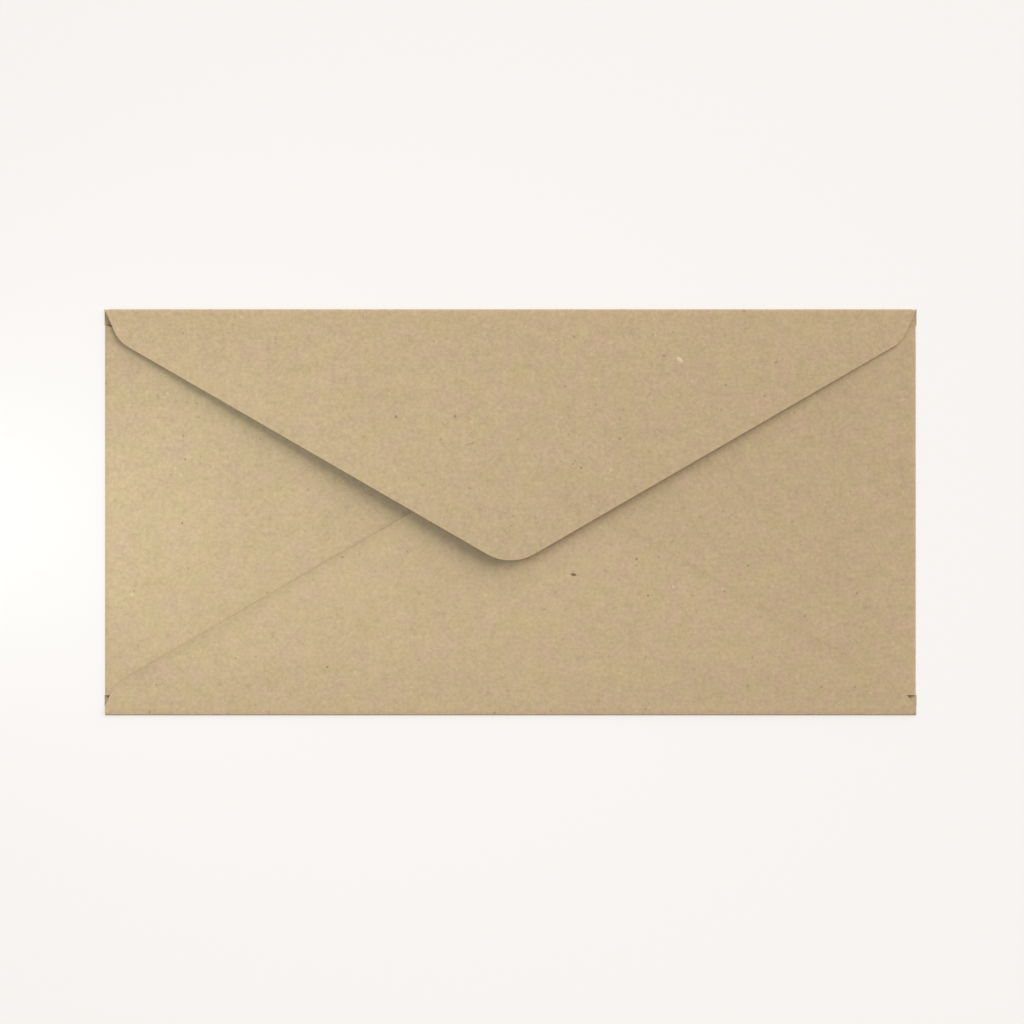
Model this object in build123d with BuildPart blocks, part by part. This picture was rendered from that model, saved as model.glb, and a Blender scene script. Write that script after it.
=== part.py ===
"""A long wallet-size paper envelope, closed but not stuck down.

It is one die-cut sheet, folded four times: the two side flaps fold in first, the bottom flap folds
up and is glued on top of them, and the deep pointed top flap folds down over all three and springs
a little open. The envelope lies on its plain front: Z = 0 is the underside of the front panel, X
runs along the envelope and +Y points to the fold of the top flap. All sizes are in millimetres.
"""

from math import atan, cos, radians, tan

import os

from build123d import *

# The whole envelope
LENGTH = 220.0
HEIGHT = 110.0
PAPER = 0.16  # thickness of the sheet
POCKET = 0.5  # how far the empty pocket stands open

# Top flap, which folds down from the top edge
FLAP_DEPTH = 70.0  # from the top fold to where its two edges would meet
FLAP_SHOULDER_IN = 4.1  # the shoulder's place, in from the end of the envelope
FLAP_SHOULDER_DOWN = 8.9  # the shoulder's place, down from the top fold
FLAP_SHOULDER_RADIUS = 9.0
FLAP_TIP_RADIUS = 12.7
FLAP_RISE_AT_FOLD = 4.6  # slope in degrees at which the flap leaves its fold
FLAP_RISE_AT_TIP = 0.8  # slope in degrees left at its tip

# Bottom flap, which folds up over the side flaps
TIP_OVERLAP = 29.75  # how far the top flap's point comes below the bottom flap's
BOTTOM_STUB = 2.5  # its straight end beside the bottom fold
BOTTOM_SHOULDER_IN = 4.04
BOTTOM_SHOULDER_UP = 8.42
BOTTOM_SHOULDER_RADIUS = 5.0
BOTTOM_TIP_RADIUS = 12.7
BOTTOM_OFF_CENTRE = -1.2  # the bottom flap is cut this far to one side

# Side flaps, which fold in from the ends
SIDE_FOLD_IN = 0.2  # the side folds lie this far inside the bare corners of the front panel
SIDE_GAP_TOP = 4.5  # bare corner between the top fold and a side flap
SIDE_GAP_BOTTOM = 5.5  # bare corner between the bottom fold and a side flap
SIDE_HEEL_IN = 20.5
SIDE_HEEL_RADIUS = 6.0
SIDE_SEAM = 11.0  # width of side flap under the bottom flap, where it is glued
SIDE_TIP_COVER = 14.5  # how far a side flap reaches past the crossing of the two seams above it
SIDE_TIP_WIDTH = 15.0
SIDE_TIP_SLANT = 6.0
SIDE_TIP_RADIUS = 8.0
SIDE_TOP_IN = 12.0
SIDE_TOP_DOWN = 7.0
SIDE_TOP_RADIUS = 6.0

half_length = LENGTH / 2
half_height = HEIGHT / 2
cutting_room = 1.0  # how far the cutting shapes reach past the paper

# The middle of the sheet's thickness runs along each fold as an arc. Each one is as wide as the
# layers that lie inside it.
side_fold_radius = (PAPER + POCKET) / 2
bottom_fold_radius = PAPER + POCKET / 2
top_fold_radius = 1.5 * PAPER + POCKET / 2

side_fold = half_length - SIDE_FOLD_IN - PAPER / 2 - side_fold_radius
bottom_fold = -half_height + PAPER / 2 + bottom_fold_radius
top_fold = half_height - PAPER / 2 - top_fold_radius
panel_middle = PAPER / 2

# Where the edges of the top flap and the bottom flap run: height above or below a fold at the
# end of the envelope, and slope
flap_slope = (FLAP_DEPTH - FLAP_SHOULDER_DOWN) / (half_length - FLAP_SHOULDER_IN)
flap_edge_at_end = FLAP_DEPTH - flap_slope * half_length
bottom_depth = HEIGHT - FLAP_DEPTH + TIP_OVERLAP
seam_slope = (bottom_depth - BOTTOM_SHOULDER_UP) / (half_length - BOTTOM_SHOULDER_IN)
seam_at_end = bottom_depth - seam_slope * half_length


def seam_height(inset):
    """Height of the bottom flap's edge above the bottom fold, so far in from the end."""
    return seam_at_end + seam_slope * inset


# A side flap's lower edge runs beside the seam, and its tip covers the place where the edge of the
# top flap crosses it
side_edge_drop = SIDE_SEAM / cos(atan(seam_slope))
seams_cross_in = (HEIGHT - flap_edge_at_end - seam_at_end) / (flap_slope + seam_slope)
side_reach = seams_cross_in + SIDE_TIP_COVER
side_heel_up = seam_height(SIDE_HEEL_IN) - side_edge_drop
side_tip_up = seam_height(side_reach) - side_edge_drop

# Front panel, flat between its folds, with four bare corners
front_corner_low = -half_height + BOTTOM_STUB
side_flap_low = -half_height + SIDE_GAP_BOTTOM
side_flap_high = half_height - SIDE_GAP_TOP
plain_end = half_length - SIDE_FOLD_IN
with BuildPart() as front_panel:
    with BuildSketch():
        with BuildLine():
            Polyline(
                (0, bottom_fold),
                (plain_end, bottom_fold),
                (plain_end, front_corner_low),
                (half_length, front_corner_low),
                (half_length, side_flap_low),
                (side_fold, side_flap_low),
                (side_fold, side_flap_high),
                (half_length, side_flap_high),
                (half_length, top_fold),
                (0, top_fold),
            )
            mirror(about=Plane.YZ)
        make_face()
    extrude(amount=PAPER)

# Bottom flap: its fold and its flat part, cut to its outline
stub_top = -half_height + BOTTOM_STUB
bottom_shoulder = half_length - BOTTOM_SHOULDER_IN
bottom_shoulder_up = -half_height + BOTTOM_SHOULDER_UP
with BuildPart() as bottom_flap:
    with BuildSketch(Plane.YZ.offset(-half_length - cutting_room)):
        with BuildLine():
            bend = CenterArc(
                (bottom_fold, panel_middle + bottom_fold_radius),
                bottom_fold_radius,
                start_angle=-90,
                arc_size=-180,
            )
            Line(bend @ 1, bend @ 1 + (bottom_depth, 0))
        trace(line_width=PAPER)
    extrude(amount=LENGTH + 2 * cutting_room)
    with BuildSketch():
        with BuildLine():
            FilletPolyline(
                (-plain_end, -half_height - cutting_room),
                (-plain_end, stub_top),
                (-bottom_shoulder + BOTTOM_OFF_CENTRE, bottom_shoulder_up),
                (BOTTOM_OFF_CENTRE, -half_height + bottom_depth),
                (bottom_shoulder + BOTTOM_OFF_CENTRE, bottom_shoulder_up),
                (plain_end, stub_top),
                (plain_end, -half_height - cutting_room),
                radius=[
                    0,
                    0,
                    BOTTOM_SHOULDER_RADIUS,
                    BOTTOM_TIP_RADIUS,
                    BOTTOM_SHOULDER_RADIUS,
                    0,
                    0,
                ],
                close=True,
            )
        make_face()
    extrude(amount=HEIGHT, mode=Mode.INTERSECT)

# Left side flap, and the right one as its mirror image
with BuildPart() as side_flaps:
    with BuildSketch(Plane.XZ.offset(-side_flap_high)):
        with BuildLine():
            bend = CenterArc(
                (-side_fold, panel_middle + side_fold_radius),
                side_fold_radius,
                start_angle=-90,
                arc_size=-180,
            )
            Line(bend @ 1, bend @ 1 + (side_reach, 0))
        trace(line_width=PAPER)
    extrude(amount=side_flap_high - side_flap_low)
    with BuildSketch():
        with BuildLine():
            FilletPolyline(
                (-half_length - cutting_room, side_flap_low),
                (-side_fold, side_flap_low),
                (-half_length + SIDE_HEEL_IN, -half_height + side_heel_up),
                (-half_length + side_reach, -half_height + side_tip_up),
                (-half_length + side_reach - SIDE_TIP_SLANT, -half_height + side_tip_up + SIDE_TIP_WIDTH),
                (-half_length + SIDE_TOP_IN, half_height - SIDE_TOP_DOWN),
                (-side_fold, side_flap_high),
                (-half_length - cutting_room, side_flap_high),
                radius=[0, 0, SIDE_HEEL_RADIUS, SIDE_TIP_RADIUS, SIDE_TIP_RADIUS, SIDE_TOP_RADIUS, 0, 0],
                close=True,
            )
        make_face()
    extrude(amount=HEIGHT, mode=Mode.INTERSECT)
    mirror(about=Plane.YZ)

# Top flap: it leaves its fold at a slope and levels out towards its tip
flap_bend = radians(FLAP_RISE_AT_FOLD - FLAP_RISE_AT_TIP)
flap_curve_radius = FLAP_DEPTH / flap_bend
flap_shoulder = half_length - FLAP_SHOULDER_IN
flap_shoulder_down = half_height - FLAP_SHOULDER_DOWN
with BuildPart() as top_flap:
    with BuildSketch(Plane.YZ.offset(-half_length - cutting_room)):
        with BuildLine():
            bend = CenterArc(
                (top_fold, panel_middle + top_fold_radius),
                top_fold_radius,
                start_angle=-90,
                arc_size=180 - FLAP_RISE_AT_FOLD,
            )
            JernArc(
                bend @ 1,
                bend % 1,
                flap_curve_radius,
                FLAP_RISE_AT_FOLD - FLAP_RISE_AT_TIP,
            )
        trace(line_width=PAPER)
    extrude(amount=LENGTH + 2 * cutting_room)
    with BuildSketch():
        with BuildLine():
            FilletPolyline(
                (-half_length, half_height + cutting_room),
                (-half_length, half_height),
                (-flap_shoulder, flap_shoulder_down),
                (0, half_height - FLAP_DEPTH),
                (flap_shoulder, flap_shoulder_down),
                (half_length, half_height),
                (half_length, half_height + cutting_room),
                radius=[0, 0, FLAP_SHOULDER_RADIUS, FLAP_TIP_RADIUS, FLAP_SHOULDER_RADIUS, 0, 0],
                close=True,
            )
        make_face()
    extrude(amount=HEIGHT, mode=Mode.INTERSECT)

# The folded sheet
with BuildPart() as envelope:
    add(front_panel.part)
    add(side_flaps.part)
    add(bottom_flap.part)
    add(top_flap.part)

envelope.part.label = "envelope"
os.makedirs("parts", exist_ok=True)
export_step(envelope.part, "parts/envelope.step")

sheet_area = envelope.part.volume / PAPER
print(f"sheet area {sheet_area:.0f} mm2, top flap tip at {envelope.part.bounding_box().max.Z:.2f} mm")
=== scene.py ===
"""A long kraft envelope: one die-cut sheet of paper, folded four times, lying on its plain front.

The flat blank is cut out and meshed first. Geometry Nodes fold it along its creases, swell the empty
pocket a little and lift the loose lip of the seams, and Solidify gives the paper its thickness. The
paper's grain and flecks have their places on the flat blank, so they follow the sheet round its folds.
Lengths are in millimetres until MM turns them into metres.
"""

from math import atan, cos, pi, radians, sin, tan

import bpy
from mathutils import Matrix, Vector
from mathutils.geometry import delaunay_2d_cdt
import numpy as np


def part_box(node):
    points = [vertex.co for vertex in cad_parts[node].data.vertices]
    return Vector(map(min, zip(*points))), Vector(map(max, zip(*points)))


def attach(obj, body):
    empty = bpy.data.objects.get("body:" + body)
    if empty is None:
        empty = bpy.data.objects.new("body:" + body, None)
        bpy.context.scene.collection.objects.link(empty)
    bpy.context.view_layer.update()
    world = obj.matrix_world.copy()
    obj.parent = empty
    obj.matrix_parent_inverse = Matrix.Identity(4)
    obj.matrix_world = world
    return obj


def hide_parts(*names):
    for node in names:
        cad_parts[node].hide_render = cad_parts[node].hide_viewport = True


MM = 0.001

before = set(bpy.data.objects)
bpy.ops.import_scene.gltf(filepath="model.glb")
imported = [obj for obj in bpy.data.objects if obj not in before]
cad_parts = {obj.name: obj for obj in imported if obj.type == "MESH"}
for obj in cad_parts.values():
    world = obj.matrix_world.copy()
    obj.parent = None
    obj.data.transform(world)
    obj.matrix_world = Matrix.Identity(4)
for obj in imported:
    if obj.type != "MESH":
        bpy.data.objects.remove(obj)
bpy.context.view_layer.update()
node_low, node_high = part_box("envelope")
half_length = (node_high.x - node_low.x) / 2 / MM
half_height = (node_high.y - node_low.y) / 2 / MM

# The sheet
PAPER = 0.16
POCKET = 0.5  # how far the empty pocket stands open
GLUE = 0.02  # room between the bottom flap and the side flaps under it
SLIT = 0.06  # cut between a side flap and the bare corner beside it

# Top flap
FLAP_DEPTH = 70.0
FLAP_SHOULDER_IN = 4.1
FLAP_SHOULDER_DOWN = 8.9
FLAP_SHOULDER_RADIUS = 9.0
FLAP_TIP_RADIUS = 12.7
FLAP_RISE_AT_FOLD = radians(4.6)
FLAP_RISE_AT_TIP = radians(0.8)

# Bottom flap
TIP_OVERLAP = 29.75
BOTTOM_STUB = 2.5
BOTTOM_SHOULDER_IN = 4.04
BOTTOM_SHOULDER_UP = 8.42
BOTTOM_SHOULDER_RADIUS = 5.0
BOTTOM_TIP_RADIUS = 12.7
BOTTOM_OFF_CENTRE = -1.2

# Side flaps
SIDE_FOLD_IN = 0.2
SIDE_GAP_TOP = 4.5
SIDE_GAP_BOTTOM = 5.5
SIDE_HEEL_IN = 20.5
SIDE_HEEL_RADIUS = 6.0
SIDE_SEAM = 11.0
SIDE_TIP_COVER = 14.5
SIDE_TIP_WIDTH = 15.0
SIDE_TIP_SLANT = 6.0
SIDE_TIP_RADIUS = 8.0
SIDE_TOP_IN = 12.0
SIDE_TOP_DOWN = 7.0
SIDE_TOP_RADIUS = 6.0

# Mesh of the blank
GRID = 2.0  # distance between points over the open sheet
ROWS = 10  # rows of faces round each fold
ARC_STEP = radians(5)  # turn between the points of a rounded corner
EDGE_ROOM = 0.6  # a grid point keeps this far from a cut edge or a fold
ROW_ROOM = 0.1  # a point of a row keeps this far from a cut edge
CUT_ROOM = 0.02  # two points of a cut edge keep this far apart

# How the folded sheet gives
LIP_WIDTH = 3.2  # margin of the bottom flap that stands loose beside its seams
LIP_ROWS = (0.4, 1.0, 1.7, 2.5)  # rows of points inside a seam's edge
LIP_FADE = 8.0  # the lip lies down again over this length, towards its shoulder
LIP_LIFT = 0.5  # how high the left seam's edge stands loose
RIGHT_LIP = 0.2  # the right seam's lift, as a share of the left one's
SPRING = 0.25  # how much further the empty pocket stands open away from its folds
SPRING_MARGIN = 14.0  # it does so over this width
SWELL = 0.08  # the sheet is this uneven
SWELL_SIZE = 45.0
FLAT_CURVE = 1000000.0  # curve radius of a flap that stays flat beyond its fold
SMOOTH_ANGLE = radians(40)

FRONT, LEFT, RIGHT, BOTTOM, TOP = range(5)  # what a point of the blank belongs to

# The middle of the paper runs round each fold as an arc, as wide as the layers inside it
side_radius = (PAPER + POCKET) / 2
bottom_radius = PAPER + (POCKET + GLUE) / 2
top_radius = 1.5 * PAPER + POCKET / 2
side_bend = pi * side_radius
bottom_bend = pi * bottom_radius
flap_angle = pi - FLAP_RISE_AT_FOLD
top_bend = flap_angle * top_radius
flap_curve_radius = FLAP_DEPTH / (FLAP_RISE_AT_FOLD - FLAP_RISE_AT_TIP)
flap_stretch = 1 / cos((FLAP_RISE_AT_FOLD + FLAP_RISE_AT_TIP) / 2)

# Where the flat front panel ends and each fold starts
plain_end = half_length - SIDE_FOLD_IN
side_crease = plain_end - PAPER / 2 - side_radius
bottom_crease = -half_height + PAPER / 2 + bottom_radius
top_crease = half_height - PAPER / 2 - top_radius
side_low = -half_height + SIDE_GAP_BOTTOM
side_high = half_height - SIDE_GAP_TOP

# Each fold: its axis, the side it lies on, how far out it starts, how far the paper takes to go round
FOLDS = (
    (0, -1, side_crease, side_bend),
    (0, 1, side_crease, side_bend),
    (1, -1, -bottom_crease, bottom_bend),
    (1, 1, top_crease, top_bend),
)

# Slopes of the flaps' edges, as they lie folded
flap_slope = (FLAP_DEPTH - FLAP_SHOULDER_DOWN) / (half_length - FLAP_SHOULDER_IN)
flap_edge_at_end = FLAP_DEPTH - flap_slope * half_length
bottom_depth = 2 * half_height - FLAP_DEPTH + TIP_OVERLAP
bottom_shoulder = half_length - BOTTOM_SHOULDER_IN
seam_slope = (bottom_depth - BOTTOM_SHOULDER_UP) / bottom_shoulder
seam_at_end = bottom_depth - seam_slope * half_length


# ---------------------------------------------------------------------------- the flat blank


def below(up):
    """Flat y of a point of the bottom flap that lies this far up from the bottom edge once folded."""
    return bottom_crease - bottom_bend - (up - half_height - bottom_crease)


def above(down):
    """Flat y of a point of the top flap that lies this far down from the top edge once folded."""
    return top_crease + top_bend + (top_crease - half_height + down) * flap_stretch


def beside(inset):
    """Flat x of a point of the right side flap that lies this far in from the end once folded."""
    return side_crease + side_bend + (side_crease - half_length + inset)


def side_edge(inset):
    """Height of a side flap's lower edge, so far in from the end: it runs beside the seam."""
    return -half_height + seam_at_end + seam_slope * inset - SIDE_SEAM / cos(atan(seam_slope))


def corners():
    """The blank's corners, anticlockwise, each with the radius that rounds it."""
    seams_cross_in = (2 * half_height - flap_edge_at_end - seam_at_end) / (flap_slope + seam_slope)
    reach = seams_cross_in + SIDE_TIP_COVER
    bottom = [
        (-plain_end, below(BOTTOM_STUB), 0),
        (BOTTOM_OFF_CENTRE - bottom_shoulder, below(BOTTOM_SHOULDER_UP), BOTTOM_SHOULDER_RADIUS),
        (BOTTOM_OFF_CENTRE, below(bottom_depth), BOTTOM_TIP_RADIUS),
        (BOTTOM_OFF_CENTRE + bottom_shoulder, below(BOTTOM_SHOULDER_UP), BOTTOM_SHOULDER_RADIUS),
        (plain_end, below(BOTTOM_STUB), 0),
    ]
    right = [
        (plain_end, bottom_crease, 0),
        (plain_end, -half_height + BOTTOM_STUB, 0),
        (half_length, -half_height + BOTTOM_STUB, 0),
        (half_length, side_low - SLIT, 0),
        (side_crease, side_low - SLIT, 0),
        (side_crease, side_low, 0),
        (side_crease + side_bend, side_low, 0),
        (beside(SIDE_HEEL_IN), side_edge(SIDE_HEEL_IN), SIDE_HEEL_RADIUS),
        (beside(reach), side_edge(reach), SIDE_TIP_RADIUS),
        (beside(reach - SIDE_TIP_SLANT), side_edge(reach) + SIDE_TIP_WIDTH, SIDE_TIP_RADIUS),
        (beside(SIDE_TOP_IN), half_height - SIDE_TOP_DOWN, SIDE_TOP_RADIUS),
        (side_crease + side_bend, side_high, 0),
        (side_crease, side_high, 0),
        (side_crease, side_high + SLIT, 0),
        (half_length, side_high + SLIT, 0),
        (half_length, top_crease, 0),
        (half_length, top_crease + top_bend / 2, 0),
        (half_length - FLAP_SHOULDER_IN, above(FLAP_SHOULDER_DOWN), FLAP_SHOULDER_RADIUS),
    ]
    left = [(-x, y, radius) for x, y, radius in reversed(right)]
    return bottom + right + [(0, above(FLAP_DEPTH), FLAP_TIP_RADIUS)] + left


def rounded(points):
    """A closed outline through these corners, with points along the arc of each rounded one."""
    outline = []
    for before, (x, y, radius), after in zip(points[-1:] + points, points, points[1:] + points[:1]):
        corner = Vector((x, y))
        if not radius:
            outline.append(corner)
            continue
        back = (Vector(before[:2]) - corner).normalized()
        onward = (Vector(after[:2]) - corner).normalized()
        half_turn = (pi - back.angle(onward)) / 2
        centre = corner + (back + onward).normalized() * (radius / cos(half_turn))
        spoke = corner + back * (radius * tan(half_turn)) - centre
        left_turn = 1 if back.cross(onward) < 0 else -1
        steps = max(2, round(2 * half_turn / ARC_STEP))
        for k in range(steps + 1):
            turn = left_turn * 2 * half_turn * k / steps
            turned = (spoke.x * cos(turn) - spoke.y * sin(turn), spoke.x * sin(turn) + spoke.y * cos(turn))
            outline.append(centre + Vector(turned))
    return outline


def fold_rows():
    """The lines of points round the folds, each as its axis and its place on that axis."""
    return [
        (axis, side * (crease + bend * k / ROWS))
        for axis, side, crease, bend in FOLDS
        for k in range(ROWS + 1)
    ]


def divided(outline):
    """The outline with a point wherever it crosses a fold's row, and none further apart than GRID."""
    points = []
    for start, end in zip(outline, outline[1:] + outline[:1]):
        span = end - start
        pieces = max(1, round(span.length / GRID))
        marks = {k / pieces for k in range(pieces)}
        for axis, place in fold_rows():
            if (start[axis] - place) * (end[axis] - place) < 0:
                marks.add((place - start[axis]) / span[axis])
        last = -1
        for mark in sorted(marks):
            if (mark - last) * span.length > CUT_ROOM and (1 - mark) * span.length > CUT_ROOM:
                points.append(start + span * mark)
                last = mark
    return points


def edge_distance(points, outline):
    """How far each point lies from the outline."""
    nearest = np.full(len(points), 2 * half_length)
    for start, end in zip(outline, outline[1:] + outline[:1]):
        span = np.array(end - start)
        away = points - np.array(start)
        along = np.clip(away @ span / (span @ span), 0, 1)
        nearest = np.minimum(nearest, np.linalg.norm(away - along[:, None] * span, axis=1))
    return nearest


def grid_points(low, high):
    """A triangular grid that leaves the folds out."""
    points = []
    for j, y in enumerate(np.arange(low[1], high[1], GRID * sin(pi / 3))):
        points += [(x, y) for x in np.arange(low[0] + j % 2 * GRID / 2, high[0], GRID)]
    points = np.array(points)
    for axis, side, crease, bend in FOLDS:
        out = points[:, axis] * side
        points = points[(out < crease - EDGE_ROOM) | (out > crease + bend + EDGE_ROOM)]
    return points


def row_points(low, high):
    """Points along the rows round each fold."""
    points = []
    for axis, place in fold_rows():
        steps = np.linspace(low[1 - axis], high[1 - axis], round((high[1 - axis] - low[1 - axis]) / GRID))
        points += [(step, place) if axis else (place, step) for step in steps]
    return np.array(points)


def lip_points():
    """Points in rows along both seams, where the bottom flap's margin stands loose."""
    points = []
    tip = Vector((BOTTOM_OFF_CENTRE, below(bottom_depth)))
    for side in (-1, 1):
        shoulder = Vector((BOTTOM_OFF_CENTRE + side * bottom_shoulder, below(BOTTOM_SHOULDER_UP)))
        seam = tip - shoulder
        inward = Vector((side * seam.y, -side * seam.x)).normalized()
        count = round(seam.length / GRID)
        for row in LIP_ROWS:
            points += [shoulder + seam * (k / count) + inward * row for k in range(1, count)]
    return np.array(points)


def belongs_to(x, y):
    """What a point of the flat blank belongs to."""
    nearly = 0.001
    if y > top_crease + nearly:
        return TOP
    if y < bottom_crease - nearly:
        return BOTTOM
    beside_a_slit = side_low - nearly < y < side_high + nearly
    if abs(x) > half_length + nearly or (abs(x) > side_crease + nearly and beside_a_slit):
        return RIGHT if x > 0 else LEFT
    return FRONT


def looseness(x, y):
    """How loose a point of the bottom flap is: 1 at the edge of the left seam, 0 away from the seams."""
    from_tip = abs(x - BOTTOM_OFF_CENTRE)
    edge = below(bottom_depth - seam_slope * from_tip)
    inside = (y - edge) * cos(atan(seam_slope))
    loose = max(0, 1 - inside / LIP_WIDTH) ** 2
    loose *= min(1, max(0, (bottom_shoulder - from_tip) / LIP_FADE))
    return loose if x < BOTTOM_OFF_CENTRE else loose * RIGHT_LIP


def cut_blank():
    """The flat blank as a mesh of small triangles."""
    outline = divided(rounded(corners()))
    low, high = np.min(outline, 0), np.max(outline, 0)
    rows = row_points(low, high)
    rows = rows[edge_distance(rows, outline) > ROW_ROOM]
    lips = lip_points()
    lips = lips[edge_distance(lips, outline) > ROW_ROOM]
    grid = grid_points(low, high)
    grid = grid[edge_distance(grid, outline) > EDGE_ROOM]
    shy = np.array([np.min(np.linalg.norm(lips - point, axis=1)) for point in grid])
    grid = grid[shy > EDGE_ROOM]
    points = outline + [Vector(point) for point in np.vstack((rows, lips, grid))]
    ring = [(k, (k + 1) % len(outline)) for k in range(len(outline))]
    inside_only = 1
    places, _, faces, _, _, _ = delaunay_2d_cdt(points, ring, [], inside_only, 1e-6)
    used = sorted({k for face in faces for k in face})
    number = {old: new for new, old in enumerate(used)}
    blank = bpy.data.meshes.new("blank")
    corners_in_metres = [(places[k].x * MM, places[k].y * MM, 0) for k in used]
    blank.from_pydata(corners_in_metres, [], [[number[k] for k in face] for face in faces])
    flaps = [belongs_to(*places[k]) for k in used]
    blank.attributes.new("flap", "INT", "POINT").data.foreach_set("value", flaps)
    loose = [looseness(*places[k]) if flap == BOTTOM else 0.0 for k, flap in zip(used, flaps)]
    blank.attributes.new("loose", "FLOAT", "POINT").data.foreach_set("value", loose)
    return blank


# ---------------------------------------------------------------------------- node trees


class Nodes:
    """Fills a node tree. A node's inputs are given as values or as other nodes' outputs."""

    def __init__(self, tree):
        self.tree = tree
        tree.nodes.clear()

    def add(self, kind, inputs=None, **options):
        node = self.tree.nodes.new(kind)
        for name, value in options.items():
            setattr(node, name, value)
        for socket, value in (inputs or {}).items():
            if isinstance(value, bpy.types.NodeSocket):
                self.tree.links.new(value, node.inputs[socket])
            else:
                node.inputs[socket].default_value = value
        return node

    def math(self, operation, *values, clamp=False):
        node = self.add("ShaderNodeMath", dict(enumerate(values)), operation=operation)
        node.use_clamp = clamp
        return node.outputs[0]

    def total(self, *values):
        result = values[0]
        for value in values[1:]:
            result = self.math("ADD", result, value)
        return result

    def vector(self, operation, *values):
        return self.add("ShaderNodeVectorMath", dict(enumerate(values)), operation=operation).outputs[0]

    def dot(self, first, second):
        node = self.add("ShaderNodeVectorMath", {0: first, 1: second}, operation="DOT_PRODUCT")
        return node.outputs["Value"]

    def scaled(self, vector, factor):
        node = self.add("ShaderNodeVectorMath", {0: vector, "Scale": factor}, operation="SCALE")
        return node.outputs[0]

    def xyz(self, x, y, z):
        return self.add("ShaderNodeCombineXYZ", {0: x, 1: y, 2: z}).outputs[0]

    def split(self, vector):
        return self.add("ShaderNodeSeparateXYZ", {0: vector}).outputs

    def mixed(self, factor, first, second):
        node = self.add("ShaderNodeMix", {0: factor, 6: first, 7: second}, data_type="RGBA")
        return node.outputs[2]

    def noise(self, place, size, seed, detail=0.0, roughness=0.5):
        """Soft noise between about -0.5 and 0.5, its features this size."""
        slice_through = self.vector("ADD", place, (0, 0, seed * size * 7))
        inputs = {"Vector": slice_through, "Scale": 1 / size, "Detail": detail, "Roughness": roughness}
        return self.math("SUBTRACT", self.add("ShaderNodeTexNoise", inputs).outputs[0], 0.5)


def new_group(kind, name, results, inputs):
    """A node group with these results and named inputs, as its tree, its Nodes and its inputs' sockets."""
    tree = bpy.data.node_groups.new(name, kind)
    for label, socket in results.items():
        tree.interface.new_socket(label, in_out="OUTPUT", socket_type="NodeSocket" + socket)
    for label, socket in inputs.items():
        tree.interface.new_socket(label, in_out="INPUT", socket_type="NodeSocket" + socket)
    nodes = Nodes(tree)
    return tree, nodes, nodes.add("NodeGroupInput").outputs


# ---------------------------------------------------------------------------- folding


def fold_tree():
    """One fold: takes a flap round its crease, then lets it run on along a wide curve."""
    inputs = {
        "Geometry": "Geometry",
        "Flap": "Float",
        "Crease": "Vector",
        "Away": "Vector",
        "Radius": "Float",
        "Angle": "Float",
        "Curve Radius": "Float",
    }
    tree, nodes, given = new_group("GeometryNodeTree", "Fold", {"Geometry": "Geometry"}, inputs)
    place = nodes.add("GeometryNodeInputPosition").outputs[0]
    beyond = nodes.dot(nodes.vector("SUBTRACT", place, given["Crease"]), given["Away"])
    beyond = nodes.math("MAXIMUM", beyond, 0.0)
    bend = nodes.math("MULTIPLY", given["Radius"], given["Angle"])
    turned = nodes.math("DIVIDE", nodes.math("MINIMUM", beyond, bend), given["Radius"])
    past = nodes.math("MAXIMUM", nodes.math("SUBTRACT", beyond, bend), 0.0)
    half_curve = nodes.math("DIVIDE", nodes.math("MULTIPLY", past, 0.5), given["Curve Radius"])
    chord = nodes.math("MULTIPLY", nodes.math("SINE", half_curve), given["Curve Radius"])
    chord = nodes.math("MULTIPLY", chord, 2.0)
    heading = nodes.math("ADD", given["Angle"], half_curve)
    along = nodes.math("MULTIPLY", given["Radius"], nodes.math("SINE", turned))
    along = nodes.math("MULTIPLY_ADD", chord, nodes.math("COSINE", heading), along)
    up = nodes.math("SUBTRACT", 1.0, nodes.math("COSINE", turned))
    up = nodes.math("MULTIPLY", given["Radius"], up)
    up = nodes.math("MULTIPLY_ADD", chord, nodes.math("SINE", heading), up)
    move = nodes.scaled(given["Away"], nodes.math("SUBTRACT", along, beyond))
    move = nodes.vector("ADD", move, nodes.xyz(0.0, 0.0, up))
    flap = nodes.add("GeometryNodeInputNamedAttribute", {"Name": "flap"}, data_type="FLOAT")
    chosen = nodes.math("COMPARE", flap.outputs["Attribute"], given["Flap"], 0.5)
    moved = nodes.add(
        "GeometryNodeSetPosition",
        {"Geometry": given["Geometry"], "Selection": chosen, "Offset": move},
    )
    nodes.add("NodeGroupOutput", {"Geometry": moved.outputs[0]})
    return tree


def fade_in(nodes, half_size, place, margin):
    """0 at either end of an axis, rising smoothly to 1 over the margin."""
    room = nodes.math("SUBTRACT", half_size, nodes.math("ABSOLUTE", place))
    ends = {"Value": room, "From Max": margin}
    return nodes.add("ShaderNodeMapRange", ends, interpolation_type="SMOOTHSTEP").outputs[0]


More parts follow.
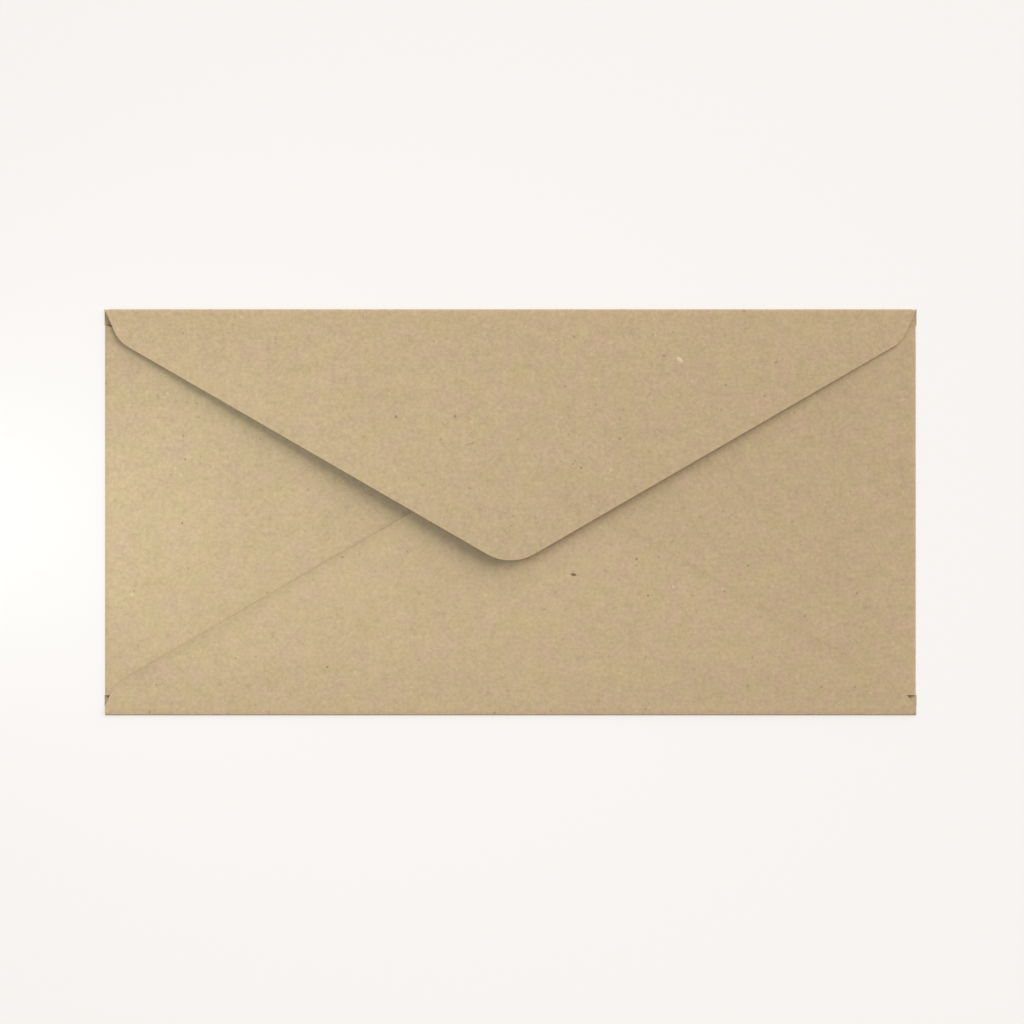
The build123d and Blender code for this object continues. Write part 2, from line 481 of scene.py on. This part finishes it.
def folding_tree():
    """The whole envelope: remembers the flat places, makes the four folds and lets the paper give."""
    sizes = (
        "Side Crease", "Bottom Crease", "Top Crease",
        "Side Radius", "Bottom Radius", "Top Radius",
        "Flap Angle", "Flap Curve Radius", "Flat Curve Radius",
        "Half Length", "Half Height",
        "Lip Lift", "Spring", "Spring Margin", "Swell", "Swell Size", "Seed",
    )
    inputs = {"Geometry": "Geometry"} | dict.fromkeys(sizes, "Float") | {"Material": "Material"}
    tree, nodes, given = new_group("GeometryNodeTree", "Folding", {"Geometry": "Geometry"}, inputs)
    flat = nodes.add("GeometryNodeInputPosition").outputs[0]
    remembered = nodes.add(
        "GeometryNodeStoreNamedAttribute",
        {"Geometry": given["Geometry"], "Name": "blank", "Value": flat},
        data_type="FLOAT_VECTOR",
        domain="POINT",
    )
    sheet = remembered.outputs[0]
    left_crease = nodes.math("MULTIPLY", given["Side Crease"], -1.0)
    folds = (
        (LEFT, (-1, 0, 0), nodes.xyz(left_crease, 0.0, 0.0), "Side Radius", pi, "Flat Curve Radius"),
        (RIGHT, (1, 0, 0), nodes.xyz(given["Side Crease"], 0.0, 0.0), "Side Radius", pi, "Flat Curve Radius"),
        (BOTTOM, (0, -1, 0), nodes.xyz(0.0, given["Bottom Crease"], 0.0), "Bottom Radius", pi,
         "Flat Curve Radius"),
        (TOP, (0, 1, 0), nodes.xyz(0.0, given["Top Crease"], 0.0), "Top Radius", given["Flap Angle"],
         "Flap Curve Radius"),
    )
    fold = fold_tree()
    for flap, away, crease, radius, angle, curve in folds:
        turn = {
            "Geometry": sheet,
            "Flap": float(flap),
            "Crease": crease,
            "Away": away,
            "Radius": given[radius],
            "Angle": angle,
            "Curve Radius": given[curve],
        }
        sheet = nodes.add("GeometryNodeGroup", turn, node_tree=fold).outputs[0]
    place = nodes.add("GeometryNodeInputPosition").outputs[0]
    x, y, _ = nodes.split(place)
    waves = nodes.add(
        "ShaderNodeTexNoise",
        {
            "Vector": place,
            "W": given["Seed"],
            "Scale": nodes.math("DIVIDE", 1.0, given["Swell Size"]),
            "Detail": 1.0,
        },
        noise_dimensions="4D",
    )
    unevenness = nodes.math("SUBTRACT", waves.outputs[0], 0.5)
    open_by = nodes.math("MULTIPLY_ADD", unevenness, given["Swell"], given["Spring"])
    open_by = nodes.math("MULTIPLY", open_by, fade_in(nodes, given["Half Length"], x, given["Spring Margin"]))
    open_by = nodes.math("MULTIPLY", open_by, fade_in(nodes, given["Half Height"], y, given["Spring Margin"]))
    loose = nodes.add("GeometryNodeInputNamedAttribute", {"Name": "loose"}, data_type="FLOAT")
    lift = nodes.math("MULTIPLY_ADD", loose.outputs["Attribute"], given["Lip Lift"], open_by)
    flap = nodes.add("GeometryNodeInputNamedAttribute", {"Name": "flap"}, data_type="FLOAT")
    on_the_back = nodes.math("COMPARE", flap.outputs["Attribute"], float(RIGHT), 1.5)
    eased = nodes.add(
        "GeometryNodeSetPosition",
        {"Geometry": sheet, "Selection": on_the_back, "Offset": nodes.xyz(0.0, 0.0, lift)},
    )
    realized = nodes.add("GeometryNodeRealizeInstances", {"Geometry": eased.outputs[0]})
    finished = nodes.add(
        "GeometryNodeSetMaterial", {"Geometry": realized.outputs[0], "Material": given["Material"]}
    )
    nodes.add("NodeGroupOutput", {"Geometry": finished.outputs[0]})
    return tree


def folded_sheet(blank, paper):
    """The blank, folded and given its thickness, as a plain mesh at the origin."""
    piece = bpy.data.objects.new("folded_sheet", blank)
    bpy.context.scene.collection.objects.link(piece)
    values = {
        "Side Crease": side_crease * MM,
        "Bottom Crease": bottom_crease * MM,
        "Top Crease": top_crease * MM,
        "Side Radius": side_radius * MM,
        "Bottom Radius": bottom_radius * MM,
        "Top Radius": top_radius * MM,
        "Flap Angle": flap_angle,
        "Flap Curve Radius": flap_curve_radius * MM,
        "Flat Curve Radius": FLAT_CURVE * MM,
        "Half Length": half_length * MM,
        "Half Height": half_height * MM,
        "Lip Lift": LIP_LIFT * MM,
        "Spring": SPRING * MM,
        "Spring Margin": SPRING_MARGIN * MM,
        "Swell": 2 * SWELL * MM,
        "Swell Size": SWELL_SIZE * MM,
        "Seed": 4.0,
        "Material": paper,
    }
    folding = piece.modifiers.new("Folding", "NODES")
    folding.node_group = folding_tree()
    for socket in folding.node_group.interface.items_tree:
        if socket.name in values:
            folding[socket.identifier] = values[socket.name]
    thickness = piece.modifiers.new("Thickness", "SOLIDIFY")
    thickness.thickness = PAPER * MM
    thickness.offset = 0
    thickness.use_even_offset = True
    thickness.use_quality_normals = True
    bpy.context.view_layer.update()
    evaluated = piece.evaluated_get(bpy.context.evaluated_depsgraph_get())
    sheet = bpy.data.meshes.new_from_object(evaluated)
    piece.modifiers.clear()
    piece.data = sheet
    sheet.shade_smooth()
    sheet.set_sharp_from_angle(angle=SMOOTH_ANGLE)
    return piece


# ---------------------------------------------------------------------------- kraft paper


def tint(red, green, blue):
    """A colour as it looks on a screen, 0 to 255, turned into linear light."""
    return tuple(((c / 255 + 0.055) / 1.055) ** 2.4 for c in (red, green, blue)) + (1,)


OLIVE = tint(187, 166, 124)
ROSY = tint(192, 162, 134)
DARK_FLECK = tint(112, 88, 56)
PALE_FLECK = tint(226, 208, 176)
PAINTED_SHADE_TOWARDS_TOP = 0.035  # painted shade: the colour gets this much darker every 100 mm, from the bottom flap to the top flap, standing in for the weaker light on the top flap

# Flecks and fibres that stand out: flap, place across and up as it lies folded, length, width, turn
# anticlockwise in degrees, and how dark (below 0) or pale (above 0) it is
MARKS = (
    (TOP, 45.8, 41.2, 2.0, 1.0, -45, 0.6),
    (TOP, 41.4, 42.2, 0.8, 0.5, 20, -0.5),
    (TOP, 40.4, 44.9, 0.9, 0.4, 0, -0.2),
    (TOP, 38.6, 29.9, 0.5, 0.4, 0, -0.25),
    (TOP, 23.0, 35.8, 0.8, 0.6, 30, 0.45),
    (TOP, 17.9, 20.4, 0.5, 0.5, 0, 0.35),
    (TOP, -10.9, 18.4, 2.9, 0.3, 17, -0.45),
    (TOP, 1.9, 19.5, 0.8, 0.4, 45, -0.35),
    (TOP, 16.8, 13.0, 0.8, 0.4, 20, -0.4),
    (TOP, 0.7, -1.2, 0.5, 0.5, 0, -0.45),
    (TOP, -10.4, -0.9, 0.4, 0.4, 0, -0.45),
    (TOP, -3.1, 4.1, 0.4, 0.4, 0, -0.4),
    (TOP, 22.2, 1.7, 0.4, 0.4, 0, 0.4),
    (TOP, 21.8, 3.4, 0.7, 0.3, 90, -0.4),
    (BOTTOM, 17.0, -16.9, 1.7, 0.7, -4, -0.9),
    (BOTTOM, 34.1, -12.7, 0.8, 0.5, 90, -0.6),
    (BOTTOM, 40.1, -12.1, 0.6, 0.5, 0, -0.5),
    (BOTTOM, 37.2, -22.6, 0.7, 0.6, 0, -0.5),
    (BOTTOM, 44.1, -20.2, 0.7, 0.6, 0, 0.5),
    (BOTTOM, 49.2, -22.5, 0.6, 0.5, 0, -0.3),
    (BOTTOM, 23.8, -14.3, 0.5, 0.3, 0, -0.35),
)


def mark_tree():
    """One fleck or short fibre: 1 inside its ragged oval, 0 outside."""
    inputs = {"Place": "Vector", "Centre": "Vector", "Axis": "Vector", "Length": "Float", "Width": "Float"}
    tree, nodes, given = new_group("ShaderNodeTree", "Mark", {"Inside": "Float"}, inputs)
    away = nodes.vector("SUBTRACT", given["Place"], given["Centre"])
    x, y, _ = nodes.split(given["Axis"])
    across_axis = nodes.xyz(nodes.math("MULTIPLY", y, -1.0), x, 0.0)
    along = nodes.math("DIVIDE", nodes.dot(away, given["Axis"]), nodes.math("MULTIPLY", given["Length"], 0.5))
    across = nodes.math("DIVIDE", nodes.dot(away, across_axis), nodes.math("MULTIPLY", given["Width"], 0.5))
    squared = nodes.math("MULTIPLY_ADD", along, along, nodes.math("MULTIPLY", across, across))
    inside = nodes.math("SUBTRACT", 1.3, nodes.math("SQRT", squared), clamp=True)
    nodes.add("NodeGroupOutput", {"Inside": nodes.math("MULTIPLY", inside, 1.6, clamp=True)})
    return tree


def placed_marks(nodes, place):
    """How dark and how pale the marks make the paper at this place."""
    group = mark_tree()
    dark, pale = [], []
    for flap, x, y, length, width, turn, shade in MARKS:
        flat_y = above(half_height - y) if flap == TOP else below(half_height + y)
        axis = (cos(radians(turn)), -sin(radians(turn)), 0)
        inputs = {"Place": place, "Centre": (x, flat_y, 0), "Axis": axis, "Length": length, "Width": width}
        inside = nodes.add("ShaderNodeGroup", inputs, node_tree=group).outputs[0]
        (pale if shade > 0 else dark).append(nodes.math("MULTIPLY", inside, abs(shade)))
    return nodes.total(*dark), nodes.total(*pale)


def stray_flecks(nodes, place, spacing, radius, share, seed):
    """Small ragged specks of many sizes, one in each patch of paper that gets one at all."""
    slice_through = nodes.vector("ADD", place, (0, 0, seed))
    cells = nodes.add(
        "ShaderNodeTexVoronoi", {"Vector": slice_through, "Scale": 1 / spacing}, voronoi_dimensions="2D"
    )
    chance, size, _ = nodes.split(cells.outputs["Color"])
    size = nodes.math("MULTIPLY", nodes.math("POWER", size, 2.0), radius / spacing)
    near = nodes.math("SUBTRACT", nodes.math("MULTIPLY", size, 1.3), cells.outputs["Distance"])
    near = nodes.math("MULTIPLY", near, 8 * spacing, clamp=True)
    return nodes.math("MULTIPLY", near, nodes.math("LESS_THAN", chance, share))


def fibres(nodes, place, size, seed):
    """Short thin curved fibres: the level lines of a noise, kept only in small patches."""
    level = nodes.math("ABSOLUTE", nodes.noise(place, size, seed))
    line = nodes.math("SUBTRACT", 1.0, nodes.math("DIVIDE", level, 0.035), clamp=True)
    patch = nodes.math("MULTIPLY", nodes.math("SUBTRACT", nodes.noise(place, size, seed + 1), 0.09), 9.0, clamp=True)
    return nodes.math("MULTIPLY", line, patch)


def kraft_paper():
    """Uncoated kraft: clouded between olive and rosy tan, grainy, with fibres and flecks."""
    material = bpy.data.materials.new("kraft_paper")
    material.use_nodes = True
    nodes = Nodes(material.node_tree)
    blank = nodes.add("ShaderNodeAttribute", attribute_name="blank").outputs["Vector"]
    place = nodes.scaled(blank, 1 / MM)
    shift = nodes.xyz(nodes.noise(place, 0.5, 1), nodes.noise(place, 0.5, 2), 0.0)
    ragged = nodes.vector("ADD", place, nodes.scaled(shift, 0.5))

    cloud = nodes.noise(place, 7.0, 3, detail=2.0, roughness=0.7)
    colour = nodes.mixed(nodes.math("MULTIPLY_ADD", cloud, 1.6, 0.5, clamp=True), OLIVE, ROSY)

    drift = nodes.noise(place, 14.0, 4, detail=1.0)
    mottle = nodes.noise(place, 3.5, 5, detail=1.0, roughness=0.7)
    grain = nodes.noise(place, 1.1, 6, detail=2.0, roughness=0.8)
    dark_fibres = fibres(nodes, place, 1.9, 7)
    pale_fibres = fibres(nodes, place, 1.6, 9)
    tone_and_painted_shade = nodes.total(
        1.0,
        # painted shade: darker towards the top flap; the other terms are the paper's own tone
        nodes.math("MULTIPLY", nodes.split(place)[1], -PAINTED_SHADE_TOWARDS_TOP / 100),
        nodes.math("MULTIPLY", drift, 0.08),
        nodes.math("MULTIPLY", mottle, 0.2),
        nodes.math("MULTIPLY", grain, 0.46),
        nodes.math("MULTIPLY", dark_fibres, -0.14),
        nodes.math("MULTIPLY", pale_fibres, 0.13),
    )
    colour = nodes.scaled(colour, tone_and_painted_shade)

    dark, pale = placed_marks(nodes, ragged)
    dark = nodes.total(
        dark,
        nodes.math("MULTIPLY", stray_flecks(nodes, ragged, 7.0, 0.35, 0.5, 11), 0.35),
        nodes.math("MULTIPLY", stray_flecks(nodes, ragged, 17.0, 0.4, 0.4, 12), 0.5),
    )
    pale = nodes.math("ADD", pale, nodes.math("MULTIPLY", stray_flecks(nodes, ragged, 11.0, 0.4, 0.5, 13), 0.3))
    colour = nodes.mixed(nodes.math("MINIMUM", dark, 1.0), colour, DARK_FLECK)
    colour = nodes.mixed(nodes.math("MINIMUM", pale, 1.0), colour, PALE_FLECK)

    relief = nodes.total(
        nodes.math("MULTIPLY", grain, 1.0),
        nodes.math("MULTIPLY", mottle, 0.8),
        nodes.math("MULTIPLY", pale_fibres, 0.35),
        nodes.math("MULTIPLY", dark_fibres, 0.25),
        nodes.math("MULTIPLY", dark, 0.3),
    )
    bump = nodes.add("ShaderNodeBump", {"Height": relief, "Distance": 0.02 * MM, "Strength": 1.0})
    roughness = nodes.math("MULTIPLY_ADD", mottle, 0.12, 0.9)
    shader = nodes.add(
        "ShaderNodeBsdfPrincipled",
        {
            "Base Color": colour,
            "Roughness": roughness,
            "Specular IOR Level": 0.25,
            "Normal": bump.outputs[0],
        },
    )
    nodes.add("ShaderNodeOutputMaterial", {"Surface": shader.outputs[0]})
    return material


# ---------------------------------------------------------------------------- table, light, camera

BACKGROUND = tint(249, 245, 242)
AMBIENT = 0.385
FLOOR_GLOW = 0.8  # share of the floor's colour that doesn't depend on the light
FLOOR_SIZE = 6.0
FLOOR_DROP = 0.02 * MM
KEY_STRENGTH = 3.8
KEY_ACROSS = radians(40)  # direction of the main light, from +X towards +Y
KEY_UP = radians(25)
KEY_SOFTNESS = radians(60)
SIDE_LIGHT_POWER = 0.137
SIDE_LIGHT_PLACE = (-0.14, 0.0, 0.06)
SIDE_LIGHT_AIM = (-0.08, 0.0, 0.0)
SIDE_LIGHT_SIZE = (0.03, 0.5)
SIDE_LIGHT_COLOUR = (0.76, 0.98, 1.0)
CAMERA_PLACE = (0.00038, 0.00007, 0.7708)
CAMERA_LENS = 100.0


def seen_directly(nodes):
    """1 for rays that show the backdrop itself, straight or through a shine, 0 for rays that light things."""
    path = nodes.add("ShaderNodeLightPath").outputs
    direct = nodes.total(path["Is Camera Ray"], path["Is Glossy Ray"], path["Is Transmission Ray"])
    return nodes.math("MINIMUM", direct, 1.0)


def lay_floor():
    """A pale table top that keeps a faint shadow."""
    mesh = bpy.data.meshes.new("floor")
    half = FLOOR_SIZE / 2
    square = [(-half, -half), (half, -half), (half, half), (-half, half)]
    mesh.from_pydata([(x, y, -FLOOR_DROP) for x, y in square], [], [(0, 1, 2, 3)])
    material = bpy.data.materials.new("pale_floor")
    material.use_nodes = True
    nodes = Nodes(material.node_tree)
    matt = nodes.add("ShaderNodeBsdfDiffuse", {"Color": BACKGROUND}).outputs[0]
    glow = nodes.add("ShaderNodeEmission", {"Color": BACKGROUND}).outputs[0]
    share = nodes.math("MULTIPLY", seen_directly(nodes), FLOOR_GLOW)
    both = nodes.add("ShaderNodeMixShader", {0: share, 1: matt, 2: glow}).outputs[0]
    nodes.add("ShaderNodeOutputMaterial", {"Surface": both})
    mesh.materials.append(material)
    floor = bpy.data.objects.new("floor", mesh)
    bpy.context.scene.collection.objects.link(floor)


def set_world():
    """Even light from all round, and the same pale colour where the backdrop itself is seen."""
    world = bpy.data.worlds.new("studio")
    world.use_nodes = True
    nodes = Nodes(world.node_tree)
    light = nodes.add("ShaderNodeBackground", {"Color": (1, 1, 1, 1), "Strength": AMBIENT}).outputs[0]
    backdrop = nodes.add("ShaderNodeBackground", {"Color": BACKGROUND, "Strength": 1.0}).outputs[0]
    both = nodes.add("ShaderNodeMixShader", {0: seen_directly(nodes), 1: light, 2: backdrop}).outputs[0]
    nodes.add("ShaderNodeOutputWorld", {"Surface": both})
    bpy.context.scene.world = world


def hang_lights():
    """A large soft light from the upper right, and a low weak one along the left end."""
    key = bpy.data.lights.new("key_light", "SUN")
    key.energy = KEY_STRENGTH
    key.angle = KEY_SOFTNESS
    to_key = Vector((cos(KEY_ACROSS) * cos(KEY_UP), sin(KEY_ACROSS) * cos(KEY_UP), sin(KEY_UP)))
    side = bpy.data.lights.new("side_light", "AREA")
    side.energy = SIDE_LIGHT_POWER
    side.color = SIDE_LIGHT_COLOUR
    side.shape = "RECTANGLE"
    side.size, side.size_y = SIDE_LIGHT_SIZE
    to_side = Vector(SIDE_LIGHT_PLACE) - Vector(SIDE_LIGHT_AIM)
    for lamp, place, facing in ((key, to_key, to_key), (side, SIDE_LIGHT_PLACE, to_side)):
        holder = bpy.data.objects.new(lamp.name, lamp)
        holder.location = place
        holder.rotation_euler = facing.to_track_quat("Z", "Y").to_euler()
        holder.visible_camera = False
        bpy.context.scene.collection.objects.link(holder)


def set_camera():
    """Straight above the envelope, with the top of the picture towards +Y."""
    camera = bpy.data.objects.new("camera", bpy.data.cameras.new("camera"))
    camera.data.lens = CAMERA_LENS
    camera.location = CAMERA_PLACE
    bpy.context.scene.collection.objects.link(camera)
    bpy.context.scene.camera = camera


# ---------------------------------------------------------------------------- the envelope

bpy.context.scene.view_settings.view_transform = "Standard"
set_camera()
set_world()
hang_lights()
lay_floor()

blank = cut_blank()
envelope = folded_sheet(blank, kraft_paper())
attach(envelope, "root")
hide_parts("envelope")
